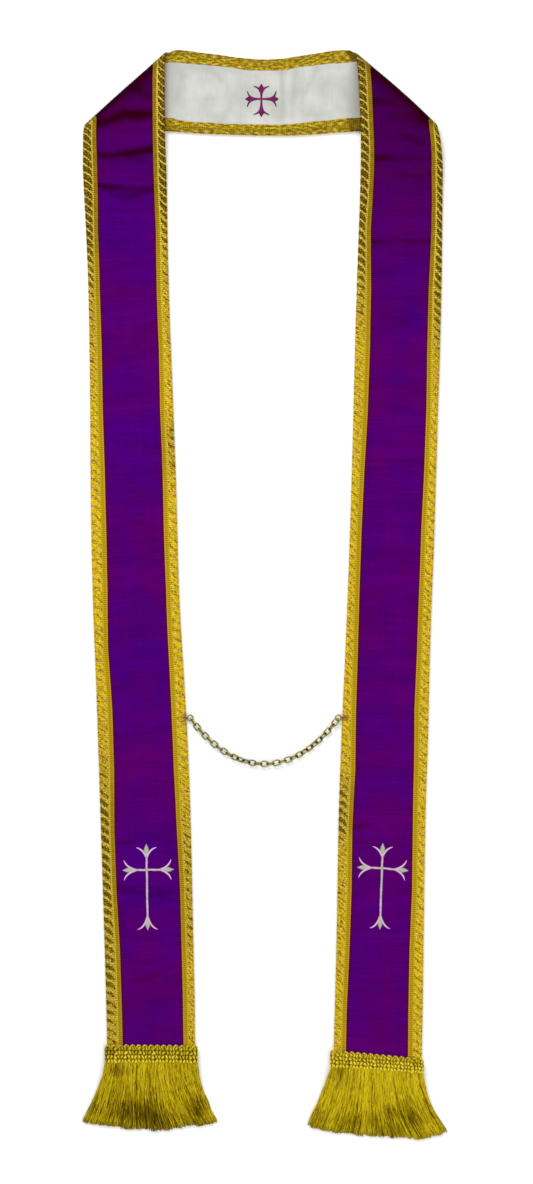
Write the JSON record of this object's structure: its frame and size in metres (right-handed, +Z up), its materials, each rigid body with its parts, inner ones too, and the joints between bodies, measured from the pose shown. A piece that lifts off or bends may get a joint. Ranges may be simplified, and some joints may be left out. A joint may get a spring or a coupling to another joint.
{
  "type": "clerical stole",
  "caption": "Long narrow vestment strip laid flat, folded forward at both ends of the neck, with braided edges, fringed hems, embroidered crosses and a joining chain.",
  "frame": {"origin": "on the surface that the stole lies on, under the middle of its outline", "axes": "+Y along the stole from the fringes to the neck, +X across it towards the band that is on the right in the picture, +Z up, out of the surface"},
  "size_m": [0.4145, 1.2414, 0.0107],
  "materials": {
    "silk_purple": "slubbed silk with a soft sheen",
    "satin_white": "matt satin",
    "gold_galloon": "metallic thread, woven and twisted",
    "gold_fringe": "glossy rayon thread",
    "silver_embroidery": "satin stitch",
    "purple_embroidery": "satin stitch",
    "antique_brass": "darkened in the hollows"
  },
  "bodies": {
    "stole": {"purple_band_left": "silk_purple", "purple_neck": "silk_purple", "purple_band_right": "silk_purple", "white_band_left": "satin_white", "white_neck": "satin_white", "white_band_right": "satin_white", "braid_inner_left": "gold_galloon", "braid_outer_left": "gold_galloon", "braid_neck_top": "gold_galloon", "braid_neck_bottom": "gold_galloon", "braid_inner_right": "gold_galloon", "braid_outer_right": "gold_galloon", "fringe_left": "gold_fringe", "fringe_right": "gold_fringe", "cross_left": "silver_embroidery", "cross_right": "silver_embroidery", "cross_neck": "purple_embroidery"},
    "chain": {"ring_left": "antique_brass", "ring_right": "antique_brass", "link_01": "antique_brass", "link_02": "antique_brass", "link_03": "antique_brass", "link_04": "antique_brass", "link_05": "antique_brass", "link_06": "antique_brass", "link_07": "antique_brass", "link_08": "antique_brass", "link_09": "antique_brass", "link_10": "antique_brass", "link_11": "antique_brass", "link_12": "antique_brass", "link_13": "antique_brass", "link_14": "antique_brass", "link_15": "antique_brass", "link_16": "antique_brass", "link_17": "antique_brass", "link_18": "antique_brass", "link_19": "antique_brass", "link_20": "antique_brass", "link_21": "antique_brass", "link_22": "antique_brass", "link_23": "antique_brass", "link_24": "antique_brass", "link_25": "antique_brass", "link_26": "antique_brass", "link_27": "antique_brass", "link_28": "antique_brass", "link_29": "antique_brass"}
  },
  "joints": [
    {"name": "chain_swing", "type": "hinge", "parent": "stole", "child": "chain", "pos_m": [0, -0.1408, 0.0026], "axis": [-1, 0, 0], "range_deg": [0, 180]}
  ]
}
